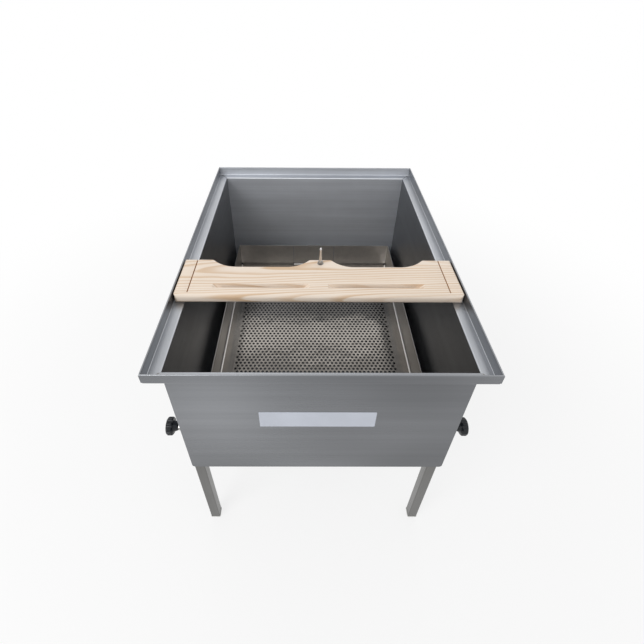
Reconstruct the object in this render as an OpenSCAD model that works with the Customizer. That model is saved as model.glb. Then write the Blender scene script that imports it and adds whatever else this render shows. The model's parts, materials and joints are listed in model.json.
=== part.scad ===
// Uncapping tank: a folded stainless tank on four clamped legs, with a lift-out
// sieve basket, a slotted wooden bar with a spike, and a honey gate behind.
// Millimetres, +Z up, front towards -Y, ground at Z = 0.

/* [Tank] */
// Clear width of the mouth, between the side walls
mouth_w = 438; // [400:1:500]
// Clear length of the mouth, between the end walls
mouth_l = 595; // [585:1:760]
// Depth from the rim's top face to the underside of the floor
tank_h = 265; // [220:1:320]
// Height of the floor's underside above the ground
stand_h = 330; // [250:1:450]
// Thickness of the tank's stainless sheet
sheet_t = 1.2; // [0.8:0.1:2]
// Inside radius of the two long floor bends
floor_bend_r = 4; // [2:0.5:8]

/* [Rim] */
// Width of the rim, from the mouth to the outside of the lip
rim_w = 21; // [16:0.5:30]
// Height of the lip above the rim's top face
lip_h = 19; // [12:0.5:30]
// Inside radius of the rim's two bends
rim_bend_r = 1; // [0.5:0.1:2]
// Height of the hem's lower edge above the rim's top face
hem_clear = 3; // [1:0.5:6]

/* [Legs] */
// Side of the square leg tube
leg_w = 20; // [18:1:30]
// Wall of the leg tube
leg_t = 1.5; // [1:0.1:3]
// Outside corner radius of the leg tube
leg_r = 2; // [1:0.1:4]
// Distance from the mouth's end to the centre line of a leg
leg_inset = 52; // [40:1:120]
// Length of leg held inside its socket
socket_grip = 84; // [70:1:140]
// Sheet thickness of the leg sockets
socket_t = 1.5; // [1:0.1:3]
// Inside radius of the socket's bends
socket_bend_r = 1; // [0.5:0.1:2]
// How far the foot cap's sole stands out round the tube
foot_lip = 1; // [0.5:0.1:3]
// Thickness of the foot cap's sole
foot_t = 3; // [2:0.5:8]
// Depth of the foot cap's plug inside the tube
foot_plug = 18; // [10:1:40]

/* [Clamp knobs] */
// Diameter of the knob's grip
knob_d = 32; // [26:1:40]
// Thickness of the knob's grip
grip_h = 11; // [8:0.5:16]
// Number of flutes round the grip
flute_n = 10; // [6:1:14]
// Diameter of the cutter that makes a flute
flute_d = 7; // [5:0.5:8]
// Distance from the grip's edge out to that cutter's centre
flute_out = 1.4; // [0.5:0.1:2]
// Chamfer on the grip's two rims
grip_edge = 1.75; // [1:0.25:3]
// Thickness of the grip left over the stud's end
grip_crown = 3; // [2:0.5:5]
// Diameter of the knob's hub at the nut
hub_d = 15; // [13:0.5:18]
// Diameter of the knob's hub at the grip
hub_root_d = 21; // [19:0.5:24]
// Length of the knob's hub
hub_h = 8; // [5:0.5:14]
// Diameter of the clamping stud
stud_d = 8; // [6:1:10]
// Width across the flats of the welded nut
nut_af = 13; // [12:0.5:17]
// Height of the welded nut
nut_h = 6.5; // [5:0.5:10]
// Height of the knob's axis above the tank's underside
knob_z = 42; // [25:1:60]
// Gap between the welded nut and the hub
knob_gap = 1.5; // [0.5:0.5:5]

/* [Sieve] */
// Gap between the sieve's side walls and the tank's side walls
sieve_side_gap = 15; // [10:0.5:30]
// Gap between the sieve's end walls and the tank's end walls
sieve_end_gap = 21.5; // [16:0.5:60]
// Height of the sieve's walls
sieve_h = 64; // [40:1:100]
// Thickness of the sieve's sheet
sieve_t = 1; // [0.8:0.1:1.5]
// Inside radius of the sieve's bends
sieve_bend_r = 4; // [2:0.5:6]
// Height of the runners that carry the sieve
runner_h = 10; // [8:1:30]
// Width of a runner
runner_w = 14; // [10:1:16]
// Diameter of the sieve's holes
hole_d = 12; // [6:0.5:15]
// Distance between neighbouring holes
hole_pitch = 18; // [15:0.5:30]
// Plain margin from the sieve's outside to the holes' area
hole_margin = 27; // [22:1:60]
// Width of the middle flap in each end wall
flap_w = 110; // [60:1:200]
// Slit between the middle flap and the corner tabs
flap_slit = 1.2; // [0.6:0.1:3]

/* [Uncapping bar] */
// Width of the bar across its ends
bar_w = 98; // [84:1:120]
// Thickness of the bar
bar_t = 17; // [16:0.5:26]
// Play between the bar's ends and the lips
bar_play = 1.5; // [1:0.5:10]
// Distance from the tank's front to the bar's front edge
bar_place = 157; // [60:1:300]
// Depth of the scoops in the bar's back edge
scoop_h = 22; // [12:1:30]
// Full width of each end that is not scooped
bar_end = 42; // [30:1:60]
// Length of the curve from an end down into its scoop
scoop_run = 51; // [36:1:70]
// Width of the flat on the boss in the middle
boss_w = 24; // [20:1:60]
// Length of the curve from the boss down into a scoop
boss_run = 47; // [34:1:60]
// Distance of the boss from the bar's middle, to the right
boss_x = 4; // [-10:1:10]
// Share of a scoop's end curve that is hollow, the rest being its round crest
hollow_share = 0.8; // [0.4:0.05:0.9]
// Number of flats along each arc of a scoop's end curve
curve_steps = 10; // [6:1:16]
// Radius of the bar's front corners
bar_corner_r = 10; // [4:1:20]
// Radius of the bar's front edge
bar_nose_r = 7.5; // [2:0.5:7.5]
// Radius of the bar's other edges
bar_edge_r = 3; // [1:0.5:8]
// Width of a long slot
slot_w = 9.5; // [6:0.5:14]
// Distance from the bar's middle to a slot's inner end
slot_in = 29; // [22:1:40]
// Length of a long slot
slot_l = 133; // [80:1:150]
// Distance from the bar's front edge to the slots' centre line
slot_place = 25.5; // [20:0.5:36]
// Length of the sloped run-out at each end of a slot
runout_l = 14; // [6:1:16]
// Depth of the run-out where it meets the slot
runout_h = 10; // [4:0.5:14]
// Distance from the bar's end to the saw kerf
kerf_in = 22; // [14:1:36]
// Width of the saw kerf
kerf_w = 2; // [1:0.5:4]
// Depth of the saw kerf
kerf_h = 7; // [3:0.5:12]
// Wood left between the kerf and the bar's front edge
kerf_stop = 9; // [5:1:20]

/* [Spike] */
// Diameter of the spike
spike_d = 5; // [4:0.5:8]
// Height of the spike above the bar
spike_h = 33; // [20:1:60]
// Length of the spike's point
spike_tip = 2.5; // [1:0.5:10]
// Diameter of the point's blunt end
spike_point_d = 3; // [1:0.1:3.5]
// Length of the spike below its lower nut
spike_end = 1; // [0.5:0.5:1]
// Distance from the boss's back edge to the spike
spike_in = 11.5; // [9:0.5:20]
// Width across the flats of the spike's nuts
spike_nut_af = 8; // [8:0.5:13]
// Height of the spike's nuts
spike_nut_h = 4; // [3:0.5:6]
// Diameter of the washers under the nuts
spike_washer_d = 11; // [10:0.5:16]
// Thickness of the washers
spike_washer_t = 1; // [0.6:0.1:2]
// Distance from the bar's underside up to the lower nut
spike_nut_sunk = 2; // [1:0.5:4]
// Radial play round the lower washer, in its pocket
pocket_play = 1; // [0.5:0.25:2]

/* [Honey gate] */
// Bore of the outlet
outlet_d = 40; // [30:1:44]
// Outside diameter of the threaded spigot
spigot_d = 48; // [47:0.5:56]
// Height of the outlet's axis above the tank's floor
outlet_z = 34; // [34:1:60]
// Diameter of the body's shoulder
shoulder_d = 66; // [60:1:70]
// Thickness of the body's shoulder
shoulder_h = 9; // [6:0.5:14]
// Length of the neck between the shoulder and the face plate
neck_l = 12; // [9:0.5:30]
// Diameter of the neck
neck_d = 54; // [50:0.5:58]
// Thickness of the face plate
face_t = 8; // [6:0.5:12]
// Thickness of the seal against the tank
seal_t = 3; // [1:0.5:5]
// Width across the flats of the back nut
back_nut_af = 56; // [55:1:64]
// Height of the back nut
back_nut_h = 9; // [6:0.5:12]
// Length of the spigot past the back nut
spigot_end = 2; // [1:0.5:3]
// Land between the bore and the face seal
face_seal_land = 2; // [1:0.5:4]
// Width of the face seal
face_seal_w = 4; // [2:0.5:5]
// Depth of the face seal
face_seal_h = 2; // [1:0.5:4]
// Distance from the outlet's axis to each bolt
bolt_x = 45; // [44:1:60]
// Diameter of the gate's bolts
bolt_d = 6; // [5:0.5:8]
// Diameter of the bolts' flat heads
bolt_head_d = 12; // [10:0.5:16]
// Height of the bolts' heads
bolt_head_h = 3.5; // [2:0.5:5]
// Length of the bolts past their nuts
bolt_end = 2; // [1:0.5:5]
// Diameter of the gate's blade over the bore
blade_d = 64; // [60:1:66]
// Thickness of the blade
blade_t = 4; // [3:0.5:6]
// Width of the blade's arms and handle
arm_w = 20; // [18:1:28]
// Length of the handle past the clamping bolt
handle_l = 42; // [20:1:80]
// Diameter of the gate's washers
gate_washer_d = 14; // [13:0.5:18]
// Thickness of the gate's washers
gate_washer_t = 1.2; // [0.8:0.1:2]
// Height of the gate's nuts
gate_nut_h = 8; // [6:0.5:12]
// Width across the flats of the pivot nut
gate_nut_af = 10; // [10:0.5:13]
// Span of the wing nut
wing_span = 30; // [24:1:40]
// Thickness of the wing nut's wings
wing_t = 3; // [2:0.5:4]
// Height of the wings above the nut's foot
wing_z = 2; // [1:0.5:4]
// Diameter of the wing nut's foot
wing_hub_d = 13; // [12:0.5:16]
// Diameter of the wing nut's top
wing_top_d = 10; // [9.5:0.5:12]

/* [Fits] */
// Gap between pieces that rest on or slide past each other
seat_gap = 0.2; // [0.1:0.05:0.5]
// Gap round a leg inside its socket
leg_gap = 0.3; // [0.2:0.05:1]
// Gap between a stud's tip and its leg
clamp_gap = 0.3; // [0.2:0.05:1]
// Radial gap between a shank and the hole it passes through
hole_gap = 0.2; // [0.1:0.05:0.4]
// Radial gap between the blade's hook and the clamping bolt
hook_gap = 0.4; // [0.3:0.05:1]
// Radial gap where one piece is pressed or screwed into another
press_gap = 0.05; // [0.02:0.01:0.1]

/* [Hidden] */
$fn = 64;
hex = 6;
cut = 1;
least_r = 0.3;
steel = [0.62, 0.63, 0.64];
bright_steel = [0.74, 0.74, 0.74];
dark_steel = [0.45, 0.45, 0.45];
wood = [0.90, 0.78, 0.60];
black = [0.08, 0.08, 0.08];
pale_plastic = [0.80, 0.80, 0.78];
gate_white = [0.90, 0.89, 0.84];
seal_grey = [0.30, 0.30, 0.31];

rim_r = rim_bend_r + sheet_t;
floor_r = floor_bend_r + sheet_t;
leg_in_r = max(leg_r - leg_t, least_r);
sieve_r = sieve_bend_r + sieve_t;
wall_x = mouth_w / 2 + sheet_t;
rim_z = stand_h + tank_h;
floor_z = stand_h + sheet_t;
lip_in = rim_w - 2 * sheet_t;

// Honey gate, measured outwards from the rear wall's outside
face_y = seal_t + shoulder_h + neck_l;
blade_y = face_y + face_t + seat_gap;
washer_y = blade_y + blade_t + seat_gap;
gate_nut_y = washer_y + gate_washer_t + seat_gap;
gate_reach = gate_nut_y + gate_nut_h + bolt_end;

// The part's middle lies at Y = 0, from the front lip to the gate's bolts
overall_l = mouth_l + rim_w + max(rim_w, sheet_t + gate_reach);
front_y = -overall_l / 2;
mouth_y0 = front_y + rim_w;
mouth_y1 = mouth_y0 + mouth_l;
mouth_mid = (mouth_y0 + mouth_y1) / 2;
rear_y = mouth_y1 + sheet_t;

leg_x = wall_x + leg_gap + leg_w / 2;
leg_y0 = mouth_y0 + leg_inset;
leg_y1 = mouth_y1 - leg_inset;
leg_l = stand_h - foot_t + socket_grip;
leg_out = leg_x + leg_w / 2;
socket_in = leg_w / 2 + leg_gap;
socket_out = leg_out + leg_gap + socket_t;
knob_x = socket_out + nut_h + knob_gap;
knob_up = stand_h + knob_z;
stud_in_knob = hub_h + grip_h - grip_crown;

sieve_w = mouth_w - 2 * sieve_side_gap;
sieve_l = mouth_l - 2 * sieve_end_gap;
sieve_z = floor_z + seat_gap + runner_h;
sieve_top = sieve_z + sieve_h;
sieve_floor_w = sieve_w - 2 * sieve_r;

bar_l = mouth_w + 2 * lip_in - 2 * bar_play;
bar_y = front_y + bar_place;
bar_z = rim_z + seat_gap;
bar_top = bar_z + bar_t;
spike_y = bar_y + bar_w - spike_in;
pocket_h = spike_washer_t + spike_nut_h + spike_nut_sunk;
pocket_d = spike_washer_d + 2 * pocket_play;

outlet_up = floor_z + outlet_z;
ear_r = arm_w / 2;
face_seal_in = outlet_d / 2 + face_seal_land;

// Flat outline in X and Z, extruded from y0 to y1
module along_y(y0, y1) {
    translate([0, y1, 0]) rotate([90, 0, 0]) linear_extrude(y1 - y0) children();
}

// Flat outline in Y and Z, extruded from x0 to x1
module along_x(x0, x1) {
    translate([x0, 0, 0]) rotate([90, 0, 90]) linear_extrude(x1 - x0) children();
}

// Quarter ring of outside radius r in the quadrant that sx and sy point to
module bend_2d(r, t, sx, sy) {
    intersection() {
        difference() {
            circle(r);
            circle(r - t);
        }
        translate([sx > 0 ? 0 : -r, sy > 0 ? 0 : -r]) square(r);
    }
}

// Square with round corners, centred
module rounded_square(w, r) {
    square([w, w - 2 * r], center = true);
    square([w - 2 * r, w], center = true);
    for (sx = [-1, 1], sy = [-1, 1]) translate([sx, sy] * (w / 2 - r)) circle(r);
}

// Children drawn on the right at Y = 0, placed at the corner that sx and sy point to
module at_corner(sx, sy) {
    translate([0, sy > 0 ? leg_y1 : leg_y0, 0])
        mirror([sx < 0 ? 1 : 0, 0, 0]) children();
}

// Section of the rim: wall bend, flat rim, lip and the hem folded down outside it
module rim_2d() {
    lip_out = rim_w - sheet_t;
    translate([rim_r, -rim_r]) bend_2d(rim_r, sheet_t, -1, 1);
    translate([rim_r, -sheet_t]) square([lip_out - 2 * rim_r, sheet_t]);
    translate([lip_out - rim_r, rim_r - sheet_t]) bend_2d(rim_r, sheet_t, 1, -1);
    translate([lip_out - sheet_t, rim_r - sheet_t]) square([sheet_t, lip_h - rim_r]);
    translate([lip_out, hem_clear]) square([sheet_t, lip_h - sheet_t - hem_clear]);
    translate([lip_out, lip_h - sheet_t]) intersection() {
        circle(sheet_t);
        translate([-sheet_t, 0]) square([2 * sheet_t, sheet_t]);
    }
}

// Prism that mitres a stretch of rim of clear length l, which runs along Y from the origin
module mitre(l) {
    linear_extrude(2 * (lip_h + rim_r), center = true)
        polygon([[0, 0], [rim_w, -rim_w], [rim_w, l + rim_w], [0, l]]);
}

// Stretch of rim along Y, of clear length l, rising from the mouth's edge at X = 0
module rim(l) {
    intersection() {
        along_y(-rim_w, l + rim_w) rim_2d();
        mitre(l);
    }
}

// Long sheet folded to the floor, both side walls and their rims
module tank_trough() color(steel) {
    for (side = [0, 1]) mirror([side, 0, 0]) {
        along_y(mouth_y0, mouth_y1) {
            translate([0, stand_h]) square([wall_x - floor_r, sheet_t]);
            translate([wall_x - floor_r, stand_h + floor_r]) bend_2d(floor_r, sheet_t, 1, -1);
            translate([mouth_w / 2, stand_h + floor_r]) square([sheet_t, tank_h - floor_r - rim_r]);
        }
        translate([mouth_w / 2, mouth_y0, rim_z]) rim(mouth_l);
    }
}

// Flat end wall with its two lower corners rounded to the trough's bends
module end_wall_2d() {
    translate([-wall_x, stand_h + floor_r]) square([2 * wall_x, tank_h - floor_r - rim_r]);
    translate([floor_r - wall_x, stand_h]) square([2 * (wall_x - floor_r), floor_r]);
    for (sx = [-1, 1]) translate([sx * (wall_x - floor_r), stand_h + floor_r]) circle(floor_r);
}

module front_panel() color(steel) {
    along_y(mouth_y0 - sheet_t, mouth_y0) end_wall_2d();
    translate([-mouth_w / 2, mouth_y0, rim_z]) rotate([0, 0, -90]) rim(mouth_w);
}

module rear_panel() color(steel) {
    difference() {
        along_y(mouth_y1, rear_y) end_wall_2d();
        translate([0, mouth_y1 - cut, outlet_up]) rotate([-90, 0, 0])
            cylinder(d = spigot_d + 2 * hole_gap, h = sheet_t + 2 * cut);
    }
    translate([mouth_w / 2, mouth_y1, rim_z]) rotate([0, 0, 90]) rim(mouth_w);
}

// Plan of a socket: depth d out from the wall, half width v, outer corners of radius r
module socket_outline(d, v, r) {
    translate([0, -v]) square([d - r, 2 * v]);
    translate([0, r - v]) square([d, 2 * (v - r)]);
    for (sy = [-1, 1]) translate([d - r, sy * (v - r)]) circle(r);
}

// Channel welded to the side wall, with a top plate that stops the leg
module leg_socket(sx, sy) color(steel) at_corner(sx, sy) {
    depth = leg_w + 2 * leg_gap;
    stop_z = foot_t + leg_l + seat_gap;
    difference() {
        translate([wall_x, 0, stand_h]) linear_extrude(stop_z + socket_t - stand_h)
            socket_outline(depth + socket_t, socket_in + socket_t, socket_bend_r + socket_t);
        translate([wall_x, 0, stand_h - cut]) linear_extrude(stop_z - stand_h + cut)
            translate([-cut, 0]) socket_outline(depth + cut, socket_in, socket_bend_r);
        translate([leg_out, 0, knob_up]) rotate([0, 90, 0])
            cylinder(d = stud_d + 2 * hole_gap, h = socket_out - leg_out + cut);
    }
}

// Nuts welded over the sockets' stud holes
module socket_weld_nuts() color(bright_steel) {
    for (sx = [-1, 1], sy = [-1, 1]) at_corner(sx, sy)
        translate([socket_out, 0, knob_up]) rotate([0, 90, 0]) difference() {
            cylinder(d = nut_af / cos(180 / hex), h = nut_h, $fn = hex);
            translate([0, 0, -cut]) cylinder(d = stud_d + 2 * hole_gap, h = nut_h + 2 * cut);
        }
}

// Square tube that slides in its socket
module leg(sx, sy) color(steel) at_corner(sx, sy) {
    translate([leg_x, 0, foot_t]) linear_extrude(leg_l) difference() {
        rounded_square(leg_w, leg_r);
        rounded_square(leg_w - 2 * leg_t, leg_in_r);
    }
}

// Sole under the tube, with a plug that is pressed up inside it
module foot_cap(sx, sy) color(pale_plastic) at_corner(sx, sy) {
    translate([leg_x, 0, 0]) {
        linear_extrude(foot_t) rounded_square(leg_w + 2 * foot_lip, leg_r + foot_lip);
        translate([0, 0, foot_t]) linear_extrude(foot_plug)
            rounded_square(leg_w - 2 * leg_t - 2 * press_gap, leg_r);
    }
}

// Half section of the knob: tapered hub, then the grip with chamfered rims
module knob_half_2d() {
    r = knob_d / 2;
    top = hub_h + grip_h;
    polygon([
        [0, 0], [hub_d / 2, 0], [hub_root_d / 2, hub_h], [r - grip_edge, hub_h], [r, hub_h + grip_edge],
        [r, top - grip_edge], [r - grip_edge, top], [0, top]
    ]);
}

// Fluted hand knob with a tapered hub, moulded on its stud
module knob(sx, sy) color(black) at_corner(sx, sy) {
    translate([knob_x, 0, knob_up]) rotate([0, 90, 0]) difference() {
        rotate_extrude() knob_half_2d();
        for (i = [0 : flute_n - 1]) rotate(i * 360 / flute_n)
            translate([knob_d / 2 + flute_out, 0, hub_h - cut]) cylinder(d = flute_d, h = grip_h + 2 * cut);
        translate([0, 0, -cut]) cylinder(d = stud_d + 2 * press_gap, h = stud_in_knob + cut);
    }
}

module knob_stud(sx, sy) color(bright_steel) at_corner(sx, sy) {
    tip_x = leg_out + clamp_gap;
    translate([tip_x, 0, knob_up]) rotate([0, 90, 0])
        cylinder(d = stud_d, h = knob_x + stud_in_knob - press_gap - tip_x);
}

// Holes in staggered rows, centred on the floor
module sieve_holes_2d() {
    row = hole_pitch * sin(60);
    half_w = sieve_w / 2 - hole_margin - hole_d / 2;
    half_l = sieve_l / 2 - hole_margin - hole_d / 2;
    rows = floor(half_l / row);
    for (j = [-rows : rows]) {
        shift = j % 2 == 0 ? 0 : hole_pitch / 2;
        across = floor((half_w - shift) / hole_pitch);
        for (i = [-across - (shift > 0 ? 1 : 0) : across])
            translate([i * hole_pitch + shift, j * row]) circle(d = hole_d, $fn = 16);
    }
}

// Perforated floor; its end edges stop short where the middle flaps are bent up
module sieve_floor() color(bright_steel) {
    translate([0, mouth_mid, sieve_z]) linear_extrude(sieve_t) difference() {
        square([sieve_floor_w, sieve_l], center = true);
        for (sy = [-1, 1]) translate([0, sy * sieve_l / 2])
            square([flap_w + 2 * flap_slit, 2 * sieve_r], center = true);
        sieve_holes_2d();
    }
}

// Long wall with its foot bend and the corner tabs that close the end walls
module sieve_side_wall() {
    tab = (sieve_w - flap_w) / 2 - flap_slit;
    straight = sieve_l / 2 - sieve_r;
    translate([0, mouth_mid, 0]) {
        along_y(-straight, straight) {
            translate([sieve_w / 2 - sieve_r, sieve_z + sieve_r]) bend_2d(sieve_r, sieve_t, 1, -1);
            translate([sieve_w / 2 - sieve_t, sieve_z + sieve_r]) square([sieve_t, sieve_h - sieve_r]);
        }
        for (sy = [0, 1]) mirror([0, sy, 0]) {
            translate([sieve_w / 2 - sieve_r, straight, sieve_z + sieve_r]) linear_extrude(sieve_h - sieve_r)
                bend_2d(sieve_r, sieve_t, 1, 1);
            along_y(sieve_l / 2 - sieve_t, sieve_l / 2)
                translate([sieve_w / 2 - tab, sieve_z + sieve_t]) square([tab - sieve_r, sieve_h - sieve_t]);
        }
    }
}

module sieve_left_wall() color(bright_steel) mirror([1, 0, 0]) sieve_side_wall();

module sieve_right_wall() color(bright_steel) sieve_side_wall();

// Middle of an end wall, bent up from the floor
module sieve_flap() {
    along_x(-flap_w / 2, flap_w / 2) {
        translate([sieve_l / 2 - sieve_r, sieve_r]) bend_2d(sieve_r, sieve_t, 1, -1);
        translate([sieve_l / 2 - sieve_t, sieve_r]) square([sieve_t, sieve_h - sieve_r]);
    }
}

module sieve_front_flap() color(bright_steel)
    translate([0, mouth_mid, sieve_z]) mirror([0, 1, 0]) sieve_flap();

module sieve_rear_flap() color(bright_steel) translate([0, mouth_mid, sieve_z]) sieve_flap();

// Channels under the sieve's plain side margins, open downwards
module sieve_runners() color(dark_steel) {
    run = sieve_l / 2 - hole_margin;
    for (side = [0, 1]) mirror([side, 0, 0])
        along_y(mouth_mid - run, mouth_mid + run)
            translate([sieve_floor_w / 2 - runner_w, sieve_z - runner_h]) difference() {
                square([runner_w, runner_h]);
                translate([sheet_t, -cut]) square([runner_w - 2 * sheet_t, runner_h - sheet_t + cut]);
            }
}

// Points of a smooth S from the origin up to [l, h]: a hollow arc, then a round crest
function s_points(l, h) =
    let (reach = (l * l + h * h) / (2 * h), hollow_r = hollow_share * reach, crest_r = reach - hollow_r,
         lean = 2 * atan(h / l) / curve_steps)
    concat(
        [for (i = [0 : curve_steps]) hollow_r * [sin(i * lean), 1 - cos(i * lean)]],
        [for (i = [curve_steps - 1 : -1 : 0]) [l, h] - crest_r * [sin(i * lean), 1 - cos(i * lean)]]
    );

// Bar's back edge from right to left: an end, a scoop, the boss, a scoop and an end
function back_points() =
    let (low = bar_w - scoop_h, foot = bar_l / 2 - bar_end - scoop_run, boss_foot = boss_w / 2 + boss_run,
         end_s = s_points(scoop_run, scoop_h), boss_s = s_points(boss_run, scoop_h), last = 2 * curve_steps)
    concat(
        [for (i = [last : -1 : 0]) [foot, low] + end_s[i]],
        [for (p = boss_s) [boss_x + boss_foot - p[0], low + p[1]]],
        [for (i = [last : -1 : 0]) [boss_x - boss_foot, low] + boss_s[i]],
        [for (p = end_s) [-foot - p[0], low + p[1]]]
    );

// Bar's plan, with square front corners
module bar_plan_2d() {
    half = bar_l / 2;
    polygon(concat([[-half, 0], [half, 0], [half, bar_w]], back_points(), [[-half, bar_w]]));
}

// Block as wide as the bar, with its round front corners
module bar_corners_2d() {
    half = bar_l / 2;
    translate([-half, bar_corner_r]) square([bar_l, bar_w]);
    translate([bar_corner_r - half, 0]) square([bar_l - 2 * bar_corner_r, 2 * bar_corner_r]);
    for (sx = [-1, 1]) translate([sx * (half - bar_corner_r), bar_corner_r]) circle(bar_corner_r);
}

// Bar's section of the given width, with one radius at its near corners and another at its far ones
module edge_2d(w, near_r, far_r) {
    translate([near_r, 0]) square([w - near_r - far_r, bar_t]);
    translate([0, near_r]) square([near_r, bar_t - 2 * near_r]);
    translate([w - far_r, far_r]) square([far_r, bar_t - 2 * far_r]);
    for (z = [near_r, bar_t - near_r]) translate([near_r, z]) circle(near_r);
    for (z = [far_r, bar_t - far_r]) translate([w - far_r, z]) circle(far_r);
}

// Long slot on the right, with a sloped run-out at each end
module bar_slot() {
    far = slot_in + slot_l;
    translate([0, 0, -cut]) linear_extrude(bar_t + 2 * cut) {
        translate([slot_in + slot_w / 2, -slot_w / 2]) square([slot_l - slot_w, slot_w]);
        for (x = [slot_in + slot_w / 2, far - slot_w / 2]) translate([x, 0]) circle(d = slot_w);
    }
    along_y(-slot_w / 2, slot_w / 2) polygon([
        [slot_in - runout_l, bar_t + cut], [slot_in - runout_l, bar_t], [slot_in, bar_t - runout_h],
        [slot_in + slot_w / 2, bar_t - runout_h], [far - slot_w / 2, bar_t - runout_h],
        [far, bar_t - runout_h], [far + runout_l, bar_t], [far + runout_l, bar_t + cut]
    ]);
}

// Wooden bar that lies across the rim between the lips
module uncapping_bar() color(wood) translate([0, bar_y, bar_z]) difference() {
    intersection() {
        linear_extrude(bar_t) bar_plan_2d();
        linear_extrude(bar_t) bar_corners_2d();
        along_x(-bar_l / 2, bar_l / 2) edge_2d(bar_w, bar_nose_r, bar_edge_r);
        along_y(0, bar_w) translate([-bar_l / 2, 0]) edge_2d(bar_l, bar_edge_r, bar_edge_r);
    }
    for (side = [0, 1]) mirror([side, 0, 0]) {
        translate([0, slot_place, 0]) bar_slot();
        translate([bar_l / 2 - kerf_in - kerf_w / 2, kerf_stop, bar_t - kerf_h])
            cube([kerf_w, bar_w, kerf_h + cut]);
    }
    translate([boss_x, bar_w - spike_in, -cut]) {
        cylinder(d = spike_d + 2 * hole_gap, h = bar_t + 2 * cut);
        cylinder(d = pocket_d, h = pocket_h + cut);
    }
}

// Pointed rod clamped in the boss between two nuts
module spike() color(bright_steel) translate([boss_x, spike_y, 0]) {
    low = bar_z + spike_nut_sunk - spike_end;
    shoulder = bar_top + spike_h - spike_tip;
    translate([0, 0, low]) cylinder(d = spike_d, h = shoulder - low);
    translate([0, 0, shoulder]) cylinder(d1 = spike_d, d2 = spike_point_d, h = spike_tip);
}

module spike_washer_at(z) {
    translate([boss_x, spike_y, z]) difference() {
        cylinder(d = spike_washer_d, h = spike_washer_t);
        translate([0, 0, -cut]) cylinder(d = spike_d + 2 * press_gap, h = spike_washer_t + 2 * cut);
    }
}

module spike_nut_at(z) {
    translate([boss_x, spike_y, z]) difference() {
        cylinder(d = spike_nut_af / cos(180 / hex), h = spike_nut_h, $fn = hex);
        translate([0, 0, -cut]) cylinder(d = spike_d + 2 * press_gap, h = spike_nut_h + 2 * cut);
    }
}

// One washer on the bar, one in the pocket under it
module spike_washers() color(bright_steel) {
    spike_washer_at(bar_top);
    spike_washer_at(bar_z + pocket_h - spike_washer_t);
}

// One nut on each washer
module spike_nuts() color(bright_steel) {
    spike_nut_at(bar_top + spike_washer_t);
    spike_nut_at(bar_z + pocket_h - spike_washer_t - spike_nut_h);
}

// Children drawn along +Z from the rear wall's outside, with the outlet as their axis
module at_gate() {
    translate([0, rear_y, outlet_up]) rotate([-90, 0, 0]) children();
}

// Face plate's outline: a disc with an ear for each bolt
module face_2d() {
    circle(d = shoulder_d);
    square([2 * bolt_x, arm_w], center = true);
    for (sx = [-1, 1]) translate([sx * bolt_x, 0]) circle(ear_r);
}

// Moulded body: threaded spigot, shoulder, neck and face plate
module gate_body() color(gate_white) at_gate() {
    inside = sheet_t + back_nut_h + spigot_end;
    difference() {
        union() {
            translate([0, 0, -inside]) cylinder(d = spigot_d, h = inside + seal_t + cut);
            translate([0, 0, seal_t]) cylinder(d = shoulder_d, h = shoulder_h);
            translate([0, 0, seal_t]) cylinder(d = neck_d, h = shoulder_h + neck_l + cut);
            translate([0, 0, face_y]) linear_extrude(face_t) face_2d();
        }
        translate([0, 0, -inside - cut]) cylinder(d = outlet_d, h = inside + face_y + face_t + 2 * cut);
        translate([0, 0, face_y + face_t - face_seal_h]) difference() {
            cylinder(r = face_seal_in + face_seal_w, h = face_seal_h + cut);
            translate([0, 0, -cut]) cylinder(r = face_seal_in, h = face_seal_h + 3 * cut);
        }
        for (sx = [-1, 1]) translate([sx * bolt_x, 0, face_y - cut])
            cylinder(d = bolt_d + 2 * press_gap, h = face_t + 2 * cut);
    }
}

// Flat ring squeezed between the tank and the body's shoulder
module gate_seal() color(seal_grey) at_gate() difference() {
    cylinder(d = shoulder_d, h = seal_t);
    translate([0, 0, -cut]) cylinder(d = spigot_d + 2 * hole_gap, h = seal_t + 2 * cut);
}

// Hexagon nut on the spigot, inside the tank
module gate_back_nut() color(gate_white) at_gate()
    translate([0, 0, -sheet_t - back_nut_h]) difference() {
        cylinder(d = back_nut_af / cos(180 / hex), h = back_nut_h, $fn = hex);
        translate([0, 0, -cut]) cylinder(d = spigot_d + 2 * press_gap, h = back_nut_h + 2 * cut);
    }

// Ring let into the face plate round the bore
module gate_face_seal() color(seal_grey) at_gate()
    translate([0, 0, face_y + face_t - face_seal_h]) difference() {
        cylinder(r = face_seal_in + face_seal_w - press_gap, h = face_seal_h);
        translate([0, 0, -cut]) cylinder(r = face_seal_in + press_gap, h = face_seal_h + 2 * cut);
    }

// Pivot and clamping bolts, with flat round heads behind the ears
module gate_bolts() color(bright_steel) at_gate() {
    for (sx = [-1, 1]) translate([sx * bolt_x, 0, face_y - bolt_head_h]) {
        cylinder(d = bolt_head_d, h = bolt_head_h);
        cylinder(d = bolt_d, h = gate_reach - face_y + bolt_head_h);
    }
}

module gate_washers() color(bright_steel) at_gate()
    for (sx = [-1, 1]) translate([sx * bolt_x, 0, washer_y]) difference() {
        cylinder(d = gate_washer_d, h = gate_washer_t);
        translate([0, 0, -cut]) cylinder(d = bolt_d + 2 * press_gap, h = gate_washer_t + 2 * cut);
    }

module gate_pivot_nut() color(bright_steel) at_gate()
    translate([-bolt_x, 0, washer_y + gate_washer_t]) difference() {
        cylinder(d = gate_nut_af / cos(180 / hex), h = gate_nut_h, $fn = hex);
        translate([0, 0, -cut]) cylinder(d = bolt_d + 2 * press_gap, h = gate_nut_h + 2 * cut);
    }

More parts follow.
